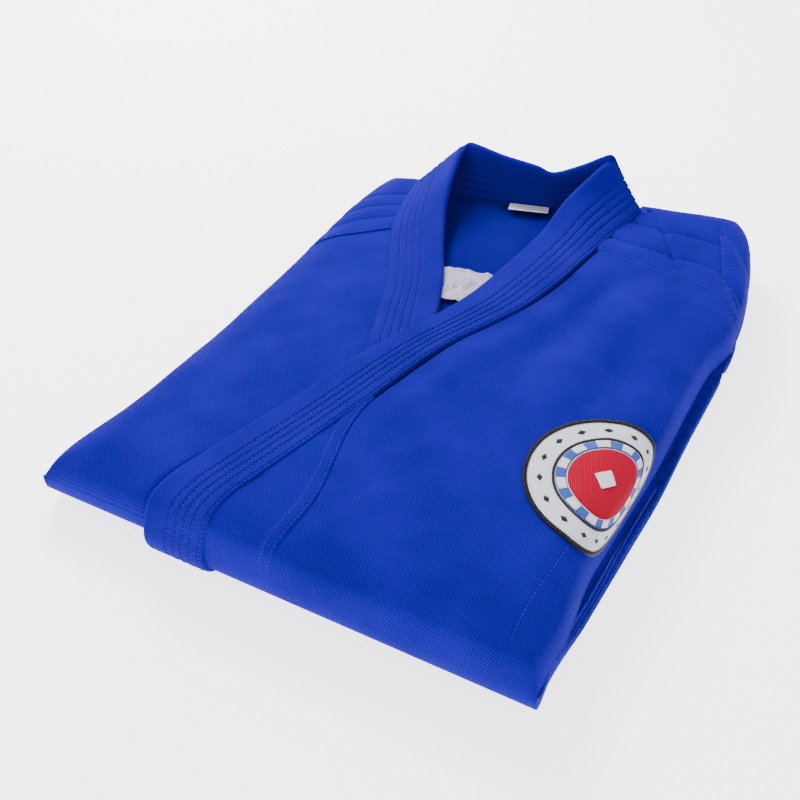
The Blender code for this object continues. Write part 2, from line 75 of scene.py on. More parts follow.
LEFT_EDGE = ((-0.240, -0.176), (-0.215, -0.174), (-0.155, -0.165), (-0.085, -0.160), (0.020, -0.160),
             (0.120, -0.162), (0.180, -0.158), (0.240, -0.146))
RIGHT_EDGE = ((-0.240, 0.146), (-0.190, 0.150), (-0.110, 0.158), (-0.060, 0.163), (0.000, 0.166),
              (0.080, 0.171), (0.130, 0.169), (0.200, 0.158), (0.240, 0.140))
LEFT_SEAM = ((-0.052, -0.2405, 0.0), (-0.049, -0.220, 0.0), (-0.038, -0.180, 0.0), (-0.019, -0.112, 0.0),
             (-0.001, -0.044, 0.0), (0.018, -0.003, 0.0), (0.032, 0.028, 0.0), (0.043, 0.069, 0.0),
             (0.050, 0.113, 0.0), (0.057, 0.157, 0.0), (0.0655, 0.1985, 0.0))
LEFT_FREE = ((-0.093, -0.2405, 0.0), (-0.092, -0.222, 0.0), (-0.080, -0.180, 0.0), (-0.060, -0.118, 0.0),
             (-0.041, -0.060, 0.0), (-0.022, -0.015, 0.0), (-0.009, 0.023, 0.0), (0.000, 0.074, 0.0),
             (0.008, 0.123, 0.0045), (0.014, 0.163, 0.018), (0.0325, 0.2090, 0.0375))
RIGHT_SEAM = ((0.018, -0.212, 0.0), (-0.014, -0.135, 0.0), (-0.048, -0.056, 0.0), (-0.071, 0.016, 0.0),
              (-0.090, 0.058, 0.0), (-0.106, 0.095, 0.0), (-0.116, 0.135, 0.0), (-0.121, 0.170, 0.0))
RIGHT_FREE = ((0.061, -0.200, 0.0), (0.026, -0.115, 0.0), (-0.009, -0.035, 0.0), (-0.036, 0.040, 0.0),
              (-0.056, 0.084, 0.006), (-0.070, 0.118, 0.016), (-0.080, 0.153, 0.028),
              (-0.0865, 0.189, 0.037))
NECK_SEAM = ((0.0520, 0.2095, 0.0375), (0.0120, 0.2030, 0.0350), (-0.0085, 0.1970, 0.0345),
             (-0.0300, 0.1920, 0.0340), (-0.0520, 0.1860, 0.0340), (-0.0980, 0.1780, 0.0340))
NECK_FREE = ((0.0300, 0.2102, 0.0866), (0.0110, 0.2010, 0.0770), (-0.0085, 0.1925, 0.0700),
             (-0.0230, 0.1915, 0.0735), (-0.0520, 0.1920, 0.0760), (-0.0830, 0.1970, 0.0782))

OKUMI_WIDTH, OKUMI_TAPER_Y, OKUMI_TAPER, OKUMI_FAR = 0.0415, -0.104, 0.12, -0.106
WELT_EDGE, WELT_WIDTH = 0.0016, 0.0070  # of the overlap's seam allowance
OKUMI_STITCHES = (0.0016, 0.0072)  # how far in from the seam
YOKE_STITCH = 0.003  # how far past a yoke's seam its stitches run
PUCKER, PUCKER_PITCH = 0.00016, 0.0062  # height and spacing of the puckers along a stitched line
QUILT_DEPTH, QUILT_WIDTH, SEAM_DEPTH, SEAM_WIDTH = 0.0010, 0.0014, 0.0005, 0.0009

# Sewn lines on the fronts, (x, y)
LEFT_YOKE_SEAM = ((0.050, 0.126), (0.075, 0.125), (0.098, 0.123), (0.117, 0.120), (0.139, 0.110),
                  (0.166, 0.088))
LEFT_QUILTING = (((0.060, 0.183), (0.082, 0.180), (0.103, 0.182), (0.135, 0.180)),
                 ((0.055, 0.149), (0.085, 0.146), (0.105, 0.145), (0.129, 0.143), (0.145, 0.136),
                  (0.165, 0.115)),
                 ((0.129, 0.205), (0.136, 0.181), (0.144, 0.148), (0.152, 0.128), (0.164, 0.106)),
                 ((0.133, 0.198), (0.151, 0.177), (0.167, 0.152)))
SHOULDER_CREASE = ((0.072, 0.208), (0.092, 0.178), (0.107, 0.146), (0.118, 0.127))
RIGHT_YOKE_SEAM = ((-0.104, 0.092), (-0.124, 0.075), (-0.144, 0.059), (-0.165, 0.043))
RIGHT_QUILTING = (((-0.108, 0.112), (-0.128, 0.097), (-0.146, 0.083), (-0.165, 0.070)),
                  ((-0.112, 0.133), (-0.130, 0.120), (-0.148, 0.107), (-0.165, 0.096)),
                  ((-0.116, 0.154), (-0.134, 0.143), (-0.150, 0.133), (-0.165, 0.124)))
CHEST_LINE = ((0.132, -0.154), (0.130, -0.177), (0.127, -0.201), (0.126, -0.232))

BADGE_X, BADGE_Y = 0.1400, -0.1085
BADGE_EDGE, BADGE_GROUND = 0.0522, 0.0495
BADGE_RING = (0.0340, 0.0358)
BADGE_DISC, BADGE_DIAMOND = 0.0270, 0.0105
LOZENGES, LOZENGE_RADIUS, LOZENGE_SIZE = 16, 0.0425, 0.0030
WEDGES = 12

PATCH = (-0.020, 0.047, math.radians(12), 0.050, 0.040)  # x, y, turn, width, length
LABEL_X, LABEL_Y, LABEL_TURN = -0.0245, 0.1878, math.radians(15)
LABEL_WIDTH, LABEL_LENGTH = 0.032, 0.014
GUSSET_X, VENT_X = 0.118, 0.122

PIECES = {}  # every piece by its name


# ---- Numbers into curves ----
def joined(*columns):
    """Points from their columns."""
    return np.stack(columns, -1)


def smoothstep(value):
    value = np.clip(value, 0.0, 1.0)
    return value * value * (3 - 2 * value)


def ramp(value, start, length):
    """0 up to `start`, 1 from `length` past it, and smooth between."""
    return smoothstep((value - start) / length)


def ridge(value, middle, width):
    """A bell-shaped rise, 1 at `middle`."""
    return np.exp(-(((value - middle) / width) ** 2))


def smooth_curve(points, count=240):
    """Points along a smooth curve through these, evenly numbered."""
    points = np.array(points, float)
    share = np.linspace(0, len(points) - 1, count)
    row = np.minimum(share.astype(int), len(points) - 2)
    t = (share - row)[:, None]
    low, high = points[row], points[row + 1]
    before, after = points[np.maximum(row - 1, 0)], points[np.minimum(row + 2, len(points) - 1)]
    slope_low, slope_high = (high - before) / 2, (after - low) / 2
    return ((2 * t**3 - 3 * t**2 + 1) * low + (t**3 - 2 * t**2 + t) * slope_low
            + (3 * t**2 - 2 * t**3) * high + (t**3 - t**2) * slope_high)


def function_of(points, source, value):
    """A curve read as a function: column `value` at a place on column `source`."""
    dense = smooth_curve(points)
    order = np.argsort(dense[:, source])
    known, wanted = dense[order, source], dense[order, value]
    return lambda where: np.interp(where, known, wanted)


left_x, right_x = function_of(LEFT_EDGE, 0, 1), function_of(RIGHT_EDGE, 0, 1)
left_seam_x, left_free_x = function_of(LEFT_SEAM, 1, 0), function_of(LEFT_FREE, 1, 0)
right_seam_x = function_of(RIGHT_SEAM, 1, 0)
left_yoke_y, right_yoke_y = function_of(LEFT_YOKE_SEAM, 0, 1), function_of(RIGHT_YOKE_SEAM, 0, 1)


def far_y(x):
    return FAR_MIDDLE + FAR_SLOPE * x


def right_near(x):
    return RIGHT_NEAR + RIGHT_STEP * ramp(x, STEP_X, STEP_WIDTH)


def rounding(distance, radius=ROUND):
    reach = np.clip(distance / radius, 0.0, 1.0)
    return np.sqrt(np.maximum(1 - (1 - reach) ** 2, 0))


def front_right_x(y):
    return right_x(y) - STAND_IN * ramp(y, -0.215, 0.06) * (1 - ramp(y, 0.035, 0.045))


def edge_factor(x, y, near=NEAR):
    """1 inside the stack and 0 on its outline. A corner is fuller than a plain product of its two sides."""
    sides = np.minimum(rounding(x - left_x(y)), rounding(front_right_x(y) - x))
    ends = np.minimum(rounding(y - near), rounding(far_y(x) - y))
    return np.minimum(sides, ends) * np.sqrt(np.maximum(sides, ends))


def sag(y):
    return 1 - SAG * ramp(y, SAG_FROM, SAG_OVER)


def back_top(x, y, near=NEAR):
    return FOLD_Z + CHEST_RISE * sag(y) * edge_factor(x, y, near)


def run_along(line):
    """Distance along a line of points, at each point."""
    return np.concatenate([[0], np.cumsum(np.linalg.norm(np.diff(line, axis=0), axis=1))])


def nearest(x, y, points):
    """Distance from a curve, positive to its right, and how far along the curve the nearest point is."""
    line = smooth_curve(points, 60)[:, :2]
    run = run_along(line)
    best = np.full(np.shape(x), 1e9)
    signed, place = np.zeros(np.shape(x)), np.zeros(np.shape(x))
    for k in range(len(line) - 1):
        (ax, ay), (bx, by) = line[k], line[k + 1]
        dx, dy = bx - ax, by - ay
        t = np.clip(((x - ax) * dx + (y - ay) * dy) / (dx * dx + dy * dy), 0, 1)
        gap_x, gap_y = x - ax - t * dx, y - ay - t * dy
        distance = np.hypot(gap_x, gap_y)
        closer = distance < best
        best = np.where(closer, distance, best)
        side = np.where(dy * gap_x - dx * gap_y > 0, 1.0, -1.0)
        signed = np.where(closer, distance * side, signed)
        place = np.where(closer, run[k] + t * math.hypot(dx, dy), place)
    return signed, place


def waves(x, y, size, phase):
    """Slow uneven swells of this wavelength, about -1 to 1."""
    total = 0
    for k in range(5):
        turn, stretch = 1.3 * k + phase, 1 + 0.23 * k
        along = x * math.cos(turn) + y * math.sin(turn)
        total = total + np.sin(along * 2 * math.pi * stretch / size + 2.1 * k * phase)
    return total / 3.2


def sewn(x, y, points, depth, width, puff=0.0):
    """A stitched line pulls the cloth down, and puckers it on both sides."""
    distance, place = nearest(x, y, points)
    ripple = np.sin(place * 2 * math.pi / PUCKER_PITCH + 3 * np.sin(place * 90))
    pucker = PUCKER * ripple * ridge(distance, 0, 0.005)
    return pucker - depth * ridge(distance, 0, width) - puff * ridge(distance, 0, 0.0055)


def stitched(seam):
    """The line of stitches along a yoke's seam."""
    return [(x, y + YOKE_STITCH) for x, y in seam]


def quilted(z, x, y, lines, seam, puff):
    """The surface z with a yoke's quilting and its seam's stitches sunk into it."""
    for line in lines:
        z = z + sewn(x, y, line, QUILT_DEPTH, QUILT_WIDTH, puff)
    return z + sewn(x, y, stitched(seam), SEAM_DEPTH, SEAM_WIDTH)


# ---- The fronts' surfaces ----
def rim(y, near=NEAR):
    return FOLD_RIM + (RIM - FOLD_RIM) * ramp(y, near, 0.02)


def left_surface(x, y):
    """Two soft folds run beside the lapel with a hollow between them, and the cloth lifts at the seam."""
    factor = edge_factor(x, y)
    z = back_top(x, y) + rim(y) + (LEFT_RISE - rim(y)) * smoothstep(RIM_RISE * factor)
    from_lapel, _ = nearest(x, y, LEFT_SEAM)
    middle = 0.058 + 0.05 * smoothstep((0.06 - y) / 0.22)
    drape = 0.0020 * ridge(from_lapel, 0.020, 0.011) * ramp(y, -0.19, 0.12)
    drape += 0.0030 * ridge(from_lapel, middle, 0.015) * ramp(y, -0.15, 0.12)
    drape -= 0.0018 * ridge(from_lapel, middle - 0.026, 0.012) * ramp(y, -0.12, 0.12)
    drape *= smoothstep((0.125 - y) / 0.05)
    drape += 0.0008 * ridge(from_lapel, 0, 0.005) * ramp(y, -0.06, 0.05)
    uneven = 0.0006 * waves(x, y, 0.11, 0.7) + 0.0002 * waves(x, y, 0.034, 1.9)
    return z + smoothstep(1.3 * factor) * (drape + uneven)


def left_front_surface(x, y):
    return left_surface(x, y) + sewn(x, y, CHEST_LINE, 0.0004, 0.0009)


def left_yoke_surface(x, y):
    z = left_surface(x, y) + 0.0006 * ramp(y, left_yoke_y(x), 0.004)
    z = z + sewn(x, y, SHOULDER_CREASE, 0.0028, 0.0024)
    return quilted(z, x, y, LEFT_QUILTING, LEFT_YOKE_SEAM, 0.0009)


def left_okumi_surface(x, y):
    """The overlap's seam allowance lies under its edge, so a flat welt runs along the seam."""
    inset = okumi_seam_x(y) - x
    welt = 0.0013 * rounding(inset, WELT_EDGE) - 0.0006 * ramp(inset, WELT_WIDTH, 0.0020)
    return left_surface(x, y) + welt - 0.0004 * ridge(inset, WELT_EDGE, 0.0008)


def right_surface(x, y):
    near = right_near(x)
    factor = edge_factor(x, y, near)
    low = FOLD_Z + CHEST_RISE * sag(y) * factor
    z = low + rim(y, near) + (RIGHT_RISE - rim(y, near)) * smoothstep(RIM_RISE * factor)
    swell = 0.0013 * waves(x, y, 0.150, 2.4) + 0.0003 * waves(x, y, 0.045, 0.4)
    return z + smoothstep(1.2 * factor) * swell


def right_yoke_surface(x, y):
    z = right_surface(x, y) + 0.0012 * smoothstep(edge_factor(x, y))
    return quilted(z, x, y, RIGHT_QUILTING, RIGHT_YOKE_SEAM, 0.0008)


def band_outside(y):
    return left_seam_x(y) - 0.002


def okumi_seam_x(y):
    return left_seam_x(y) + 0.0026 + OKUMI_WIDTH * smoothstep((OKUMI_TAPER_Y - y) / OKUMI_TAPER)


def band_inside(y):
    return right_seam_x(y) + 0.002


# ---- Meshes ----
def spread(count, length, at_low, at_high, radius=ROUND):
    """Shares of a length, closer together near a rounded end, so that steps along the cloth are even."""
    bend = math.pi / 2 * radius
    total = length + (at_low + at_high) * (bend - radius)
    place = np.linspace(0, total, count + 1)
    out = place
    if at_low:
        start = radius * (1 - np.cos(np.minimum(place, bend) / radius))
        out = np.where(place < bend, start, place - bend + radius)
    if at_high:
        back = total - place
        end = radius * (1 - np.cos(np.minimum(back, bend) / radius))
        out = np.where(back < bend, length - end, out)
    return out / length


def add_piece(name, points, faces, uvs, material, body):
    """A mesh piece that rides on a body. With no body it is left for bend(). PIECES keeps it."""
    mesh = bpy.data.meshes.new(name)
    mesh.from_pydata([tuple(map(float, p)) for p in points], [], faces)
    layer = mesh.uv_layers.new(name="cloth")
    index = np.zeros(len(mesh.loops), np.int32)
    mesh.loops.foreach_get("vertex_index", index)
    layer.data.foreach_set("uv", np.asarray(uvs, np.float32)[index].ravel())
    mesh.materials.append(material)
    mesh.shade_smooth()
    mesh.set_sharp_from_angle(angle=math.radians(62))
    mesh.update()
    piece = bpy.data.objects.new(name, mesh)
    bpy.context.scene.collection.objects.link(piece)
    PIECES[name] = piece
    if body:
        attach(piece, body)
    return piece


def grid_faces(rows, columns, offset=0, flip=False, wrap=False):
    faces = []
    for j in range(rows - 1):
        for i in range(columns if wrap else columns - 1):
            after = (i + 1) % columns
            a, b = offset + j * columns + i, offset + j * columns + after
            quad = (a, b, b + columns, a + columns)
            faces.append(quad[::-1] if flip else quad)
    return faces


def border(rows, columns):
    """The grid's outer loop, counter-clockwise."""
    loop = list(range(columns - 1)) + [j * columns + columns - 1 for j in range(rows - 1)]
    loop += [(rows - 1) * columns + i for i in range(columns - 1, 0, -1)]
    return loop + [j * columns for j in range(rows - 1, 0, -1)]


def slab_faces(rows, columns, rings):
    """Faces of a slab. Its points are the upper grid, the lower grid and the rings between their borders."""
    half, loop = rows * columns, border(rows, columns)
    count = len(loop)
    chain = [loop] + [[2 * half + k * count + i for i in range(count)] for k in range(rings)]
    chain.append([half + i for i in loop])
    faces = grid_faces(rows, columns) + grid_faces(rows, columns, half, flip=True)
    for upper, lower in zip(chain, chain[1:]):
        for i in range(count):
            after = (i + 1) % count
            faces.append((upper[i], lower[i], lower[after], upper[after]))
    return faces


def stands_for(name, *nodes, slot="blue_cotton"):
    """The named piece takes the place of these CAD nodes, or of the node with its own name."""
    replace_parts(PIECES[name], *(nodes or (name,)))


def between(low_x, high_x, low_y, high_y):
    def region(u, v):
        y = low_y(0.0) + v * (high_y(0.0) - low_y(0.0))
        for _ in range(3):
            x = low_x(y) + u * (high_x(y) - low_x(y))
            y = low_y(x) + v * (high_y(x) - low_y(x))
        return low_x(y) + u * (high_x(y) - low_x(y)), y

    return region


def at(value):
    return lambda where: value + 0.0 * np.asarray(where)


def unrolled(x, y):
    """Places on the cloth, counted along it, so that the weave doesn't stretch down a rounded side."""
    left, right = x - left_x(y), front_right_x(y) - x

    def extra(distance):
        reach = np.clip(distance / ROUND, 0, 1)
        return ROUND * (np.pi / 2 - np.arccos(1 - reach)) - ROUND * (1 - reach)

    return joined(x - extra(left) + extra(right), y - extra(y - NEAR))


LIP = 6  # rows of faces round a sheet's rolled rim
TURN, TURN_ROWS = 0.022, 14  # radius of the skirt's turn at the near fold, and its rows of faces


def closed_sheet(name, outer, inner, uv, material, body, bulge, plies):
    """A sheet from its outer and inner faces, each a grid of points, with a rim that rolls out by `bulge`
    once for each ply. Bulge and plies are given for each point of the grid."""
    rows, columns = outer.shape[:2]
    loop = border(rows, columns)
    high, low, flat = outer.reshape(-1, 3), inner.reshape(-1, 3), uv.reshape(-1, 2)
    away = np.zeros((rows, columns, 3))
    away[:, 0] += outer[:, 0] - outer[:, 1]
    away[:, -1] += outer[:, -1] - outer[:, -2]
    away[0] += outer[0] - outer[1]
    away[-1] += outer[-1] - outer[-2]
    away = away.reshape(-1, 3)[loop] * (1, 1, 0)
    away /= np.maximum(np.linalg.norm(away, axis=1, keepdims=True), 1e-9)
    stand = away * bulge.reshape(-1)[loop][:, None]
    fold = plies.reshape(-1)[loop][:, None]
    points, uvs = [high, low], [flat, flat]
    for k in range(1, LIP):
        share = k / LIP
        roll = (2 - fold) * np.sin(np.pi * share) + (fold - 1) * np.abs(np.sin(2 * np.pi * share))
        points.append(high[loop] * (1 - share) + low[loop] * share + stand * roll)
        uvs.append(flat[loop] + np.array([0.0, 0.004 * share]))
    faces = slab_faces(rows, columns, LIP - 1)
    return add_piece(name, np.concatenate(points), faces, np.concatenate(uvs), material, body)


def chest_grid(region, top, bottom, cells, ends, size):
    """Outer face, inner face and places on the cloth. `ends` says which sides are rounded: low x, high x,
    low y, high y."""
    u, v = np.meshgrid(spread(cells[0], size[0], *ends[:2]), spread(cells[1], size[1], *ends[2:]))
    x, y = region(u, v)
    return joined(x, y, top(x, y)), joined(x, y, bottom(x, y)), unrolled(x, y)


def panel(name, region, top, bottom, material, body, cells, ends, size, bulge=0.0006):
    outer, inner, uv = chest_grid(region, top, bottom, cells, ends, size)
    even = np.ones(outer.shape[:2])
    return closed_sheet(name, outer, inner, uv, material, body, bulge * even, even)


def wrapped(name, chest, sides_of, near_of, low, thick, material, cells=110):
    """A front: one cloth over the chest, round the near fold and under to the hem.
    `sides_of` gives the two sides under the stack from y and the two sides at the fold."""
    outer, inner, uv = chest
    share = spread(cells, SKIRT_END - NEAR, 1, 0, TURN)[:0:-1, None]
    fold = outer[0, :, 0]
    across = ((fold - fold[0]) / (fold[-1] - fold[0]))[None, :]
    near = near_of(fold)[None, :]
    y = near + share * (SKIRT_END - near)
    x_low, x_high = sides_of(y, fold[0], fold[-1])
    x = x_low + across * (x_high - x_low)
    z = low(x, y, near)
    under_outer = joined(x, y, z)
    under_inner = joined(x, y, np.minimum(z + thick(x), FOLD_Z - 0.0001))
    under_inner[..., 2] = np.maximum(under_inner[..., 2], z + HAIR)
    path = np.concatenate([under_outer, outer[:1]])
    gone = np.linalg.norm(np.diff(path, axis=0), axis=2)[::-1].cumsum(axis=0)[::-1]
    under_uv = np.stack([x, uv[0, :, 1][None, :] - gone], -1)
    outer, inner = np.concatenate([under_outer, outer]), np.concatenate([under_inner, inner])
    flat_rows = cells - TURN_ROWS  # from the hem to where the cloth starts to turn up
    lies = smoothstep((flat_rows - np.arange(len(outer))) / TURN_ROWS)[:, None] + np.zeros(len(fold))
    piece = closed_sheet(name, outer, inner, np.concatenate([under_uv, uv]), material, None,
                         0.0006 + 0.0018 * lies, 1.0 + lies)
    return bend(piece)


def bend(piece):
    """The piece's transform is baked into its mesh; it is tied to neither half."""
    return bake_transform(piece)


def under(top, thick, floor=None):
    """The inner face of a sheet, which stays off whatever lies under it."""

    def height(x, y):
        z = top(x, y)
        low = z - thick
        if floor is not None:
            low = np.maximum(low, floor(x, y))
        return np.minimum(low, z - HAIR)

    return height


def folded(name, region, low, high, material, body, cells, plies, bulge, phase=0.0):
    """Cloth folded in layers: a soft slab whose side shows the rolled edge of each layer."""
    u, v = np.meshgrid(np.linspace(0, 1, cells[0] + 1), np.linspace(0, 1, cells[1] + 1))
    u, v = (1 - np.cos(np.pi * u)) / 2 * 0.35 + u * 0.65, (1 - np.cos(np.pi * v)) / 2 * 0.35 + v * 0.65
    x, y = region(u, v)
    rows, columns = x.shape
    swell = 0.0004 * waves(x, y, 0.07, 1.1 + phase)
    top = joined(x, y, high(x, y) + swell).reshape(-1, 3)
    bottom = joined(x, y, low(x, y) + 0 * x).reshape(-1, 3)
    loop = border(rows, columns)
    outer = top[loop]
    step = np.roll(outer, -1, axis=0) - np.roll(outer, 1, axis=0)
    outward = np.stack([step[:, 1], -step[:, 0], 0 * step[:, 0]], -1)
    outward /= np.maximum(np.linalg.norm(outward, axis=1), 1e-9)[:, None]
    around = np.cumsum(np.linalg.norm(np.diff(outer, axis=0, prepend=outer[:1]), axis=1))
    count = plies * 8
    flat = joined(x, y).reshape(-1, 2)
    points, uvs = [top, bottom], [flat, flat]
    for k in range(1, count):
        share = k / count
        ply = min(int(share * plies), plies - 1)
        roll = abs(math.sin(math.pi * share * plies)) ** 0.55
        own = 0.55 + 0.45 * np.sin(around * 38 + ply * 2.3 + phase)
        points.append(outer * (1 - share) + bottom[loop] * share + outward * (bulge * roll * own)[:, None])
        uvs.append(flat[loop] + np.array([0.0, 0.02 * share]))
    faces = slab_faces(rows, columns, count - 1)
    return add_piece(name, np.concatenate(points), faces, np.concatenate(uvs), material, body)


# ---- Materials ----
def link(tree, source, target):
    tree.links.new(source, target)


def calc(tree, operation, first, second=None):
    node = tree.nodes.new("ShaderNodeMath")
    node.operation = operation
    for socket, value in ((0, first), (1, second)):
        if value is None:
            continue
        if isinstance(value, (int, float)):
            node.inputs[socket].default_value = value
        else:
            link(tree, value, node.inputs[socket])
    return node.outputs[0]


def new_material(name, roughness, sheen, sheen_tint, gloss):
    material = bpy.data.materials.new(name)
    material.use_nodes = True
    shader = material.node_tree.nodes["Principled BSDF"]
    for socket, value in (("Roughness", roughness), ("Specular IOR Level", gloss), ("Sheen Weight", sheen),
                          ("Sheen Roughness", 0.45), ("Sheen Tint", (*sheen_tint, 1))):
        shader.inputs[socket].default_value = value
    uv = material.node_tree.nodes.new("ShaderNodeUVMap")
    uv.uv_map = "cloth"
    return material, material.node_tree, shader, uv.outputs[0]


def noise_of(tree, vector, scale, detail):
    node = tree.nodes.new("ShaderNodeTexNoise")
    node.inputs["Scale"].default_value = scale
    node.inputs["Detail"].default_value = detail
    link(tree, vector, node.inputs["Vector"])
    return node.outputs["Fac"]


def colour_between(tree, factor, stops):
    node = tree.nodes.new("ShaderNodeValToRGB")
    while len(node.color_ramp.elements) < len(stops):
        node.color_ramp.elements.new(0.5)
    for element, (position, colour) in zip(node.color_ramp.elements, stops):
        element.position = position
        element.color = (*colour, 1)
    link(tree, factor, node.inputs["Fac"])
    return node.outputs["Color"]


def set_bump(tree, shader, height, distance, strength=0.8):
    node = tree.nodes.new("ShaderNodeBump")
    node.inputs["Distance"].default_value = distance
    node.inputs["Strength"].default_value = strength
    link(tree, height, node.inputs["Height"])
    link(tree, node.outputs["Normal"], shader.inputs["Normal"])


def woven(name, dark, middle, light, pitch=(0.00085, 0.00125), sheen=0.12):
    """Cotton with a small rice-grain weave, uneven dye and a brushed, fuzzy face."""
    material, tree, shader, uv = new_material(name, 0.82, sheen, (0.22, 0.12, 1.0), 0.03)
    split = tree.nodes.new("ShaderNodeSeparateXYZ")
    link(tree, uv, split.inputs[0])
    fuzz = noise_of(tree, uv, 1400, 2.0)
    sway = calc(tree, "MULTIPLY", noise_of(tree, uv, 260, 2.0), 0.9)
    across = calc(tree, "ADD", calc(tree, "MULTIPLY", split.outputs[0], math.pi / pitch[0]), sway)
    up = calc(tree, "ADD", calc(tree, "MULTIPLY", split.outputs[1], math.pi / pitch[1]), sway)
    grain = calc(tree, "MULTIPLY", calc(tree, "SINE", across), calc(tree, "SINE", up))
    raised = calc(tree, "MULTIPLY", calc(tree, "ABSOLUTE", grain), 0.65)
    raised = calc(tree, "ADD", raised, calc(tree, "MULTIPLY", grain, 0.35))
    height = calc(tree, "ADD", raised, calc(tree, "MULTIPLY", fuzz, 0.5))
    tone = calc(tree, "MULTIPLY", height, 0.60)
    tone = calc(tree, "ADD", tone, calc(tree, "MULTIPLY", noise_of(tree, uv, 22, 5.0), 0.50))
    colour = colour_between(tree, tone, ((0.15, dark), (0.5, middle), (0.9, light)))
    link(tree, colour, shader.inputs["Base Color"])
    set_bump(tree, shader, height, 0.00034, 0.85)
    return material


def threads(name, dark, light, pitch, roughness=0.5, sheen=0.15, slant=0.35, gloss=0.25):
    """Satin stitches side by side: fine parallel threads with broken ends."""
    material, tree, shader, uv = new_material(name, roughness, sheen, (1, 1, 1), gloss)
    split = tree.nodes.new("ShaderNodeSeparateXYZ")
    link(tree, uv, split.inputs[0])
    place = calc(tree, "ADD", split.outputs[0], calc(tree, "MULTIPLY", split.outputs[1], slant))
    wander = calc(tree, "MULTIPLY", noise_of(tree, uv, 420, 2.0), 1.6)
    wave = calc(tree, "SINE", calc(tree, "ADD", calc(tree, "MULTIPLY", place, 2 * math.pi / pitch), wander))
    height = calc(tree, "ADD", calc(tree, "MULTIPLY", wave, 0.5), noise_of(tree, uv, 900, 3.0))
    tone = calc(tree, "MULTIPLY", height, 0.75)
    link(tree, colour_between(tree, tone, ((0.1, dark), (0.8, light))), shader.inputs["Base Color"])
    set_bump(tree, shader, height, 0.00022)
    return material


BLUE = woven("royal_blue_cotton", (0.0004, 0.0002, 0.075), (0.0034, 0.0006, 0.21), (0.014, 0.0035, 0.37))
LAPEL_BLUE = woven("lapel_cotton", (0.0006, 0.0002, 0.08), (0.0044, 0.0008, 0.21), (0.016, 0.0040, 0.37),
                   (0.00085, 0.0011), 0.13)
# The jacket's inside: the same cotton as the front, with painted shade, made darker for the hollow and gaps
# it lies in
SHADED_INNER_BLUE = woven("inner_cotton_painted_shade", (0.0003, 0.0002, 0.05), (0.0015, 0.0005, 0.145), (0.007, 0.0015, 0.25))
CORE = woven("band_core_canvas", (0.001, 0.0002, 0.06), (0.002, 0.0004, 0.14), (0.006, 0.001, 0.22),
             (0.002, 0.002))
THREAD = threads("blue_sewing_thread", (0.004, 0.002, 0.22), (0.030, 0.024, 0.46), 0.0004, 0.6, 0.1)
SATIN = threads("lilac_satin", (0.30, 0.27, 0.44), (0.72, 0.68, 0.86), 0.0006, 0.28, 0.1, 0.0)
LABEL = threads("woven_label", (0.72, 0.72, 0.76), (0.92, 0.92, 0.95), 0.0005, 0.45, 0.1, 0.0)
WHITE = threads("white_embroidery", (0.52, 0.54, 0.64), (0.88, 0.89, 0.97), 0.0008)
BLACK = threads("black_embroidery", (0.002, 0.002, 0.003), (0.022, 0.018, 0.024), 0.0009, 0.6, 0.03)
PALE_BLUE = threads("pale_blue_embroidery", (0.006, 0.035, 0.26), (0.030, 0.11, 0.55), 0.0008)
RED = threads("red_embroidery", (0.26, 0.0002, 0.012), (0.55, 0.0006, 0.040), 0.0011, 0.6, 0.0, gloss=0.03)

CHEST, SKIRT = "chest_half", "skirt_half"
EDGE_IN, YOKE_IN = 0.0006, 0.0004  # how far inside the outline a front ends, and a shoulder yoke
SKIRT_CLOTH, SKIRT_FOLDED = 0.0045, 0.0063  # and what the folded-back side adds to it


# ---- Fronts and shoulders ----
def back_floor(x, y):
    return np.maximum(back_top(x, y) + 0.0012, FOLD_Z + 0.0014)


def lap(edge, amount):
    return lambda where: edge(where) + amount


def under_left(y, first, last):
    return first + 0 * y, right_x(y) - EDGE_IN - 0.0030 * ramp(y, NEAR, 0.03)


def under_okumi(y, first, last):
    return first + 0 * y, last + 0 * y


def under_right(y, first, last):
    """At the near-left corner the cloth starts at the chest's own side and leans out as it goes down."""
    drop = 1 - turn_up(y, RIGHT_NEAR) / FOLD_Z
    lean = 0.0058 * smoothstep(1.5 * drop) * (1 - ramp(y, RIGHT_NEAR + 0.016, 0.05))
    outer = first + (left_x(y) + 0.0034 - first) * ramp(y, RIGHT_NEAR, 0.05) - lean
    return outer, last + (0.017 - last) * ramp(y, NEAR, 0.05)


def left_low(x, y, near):
    return turn_up(y, near)


def right_low(x, y, near):
    """The right front climbs on to the left lapel's tail."""
    return np.maximum(turn_up(y, near), 0.0064 * ramp(x, -0.119, 0.018))


def left_thick(x):
    """The lowest layer is doubled towards the side, where the cloth is folded back on itself."""
    return SKIRT_CLOTH + SKIRT_FOLDED * ramp(x, 0.065, 0.02)


def right_thick(x):
    return SKIRT_CLOTH + SKIRT_FOLDED * (1 - ramp(x, -0.132, 0.02))


def turn_up(y, near):
    """Height of the skirt's outer face: it comes down from the near fold and lies on the table."""
    share = np.clip((y - near) / TURN, 0.0, 1.0)
    return (FOLD_Z - HAIR) * (1 - np.sqrt(np.maximum(1 - (1 - share) ** 2, 0)))


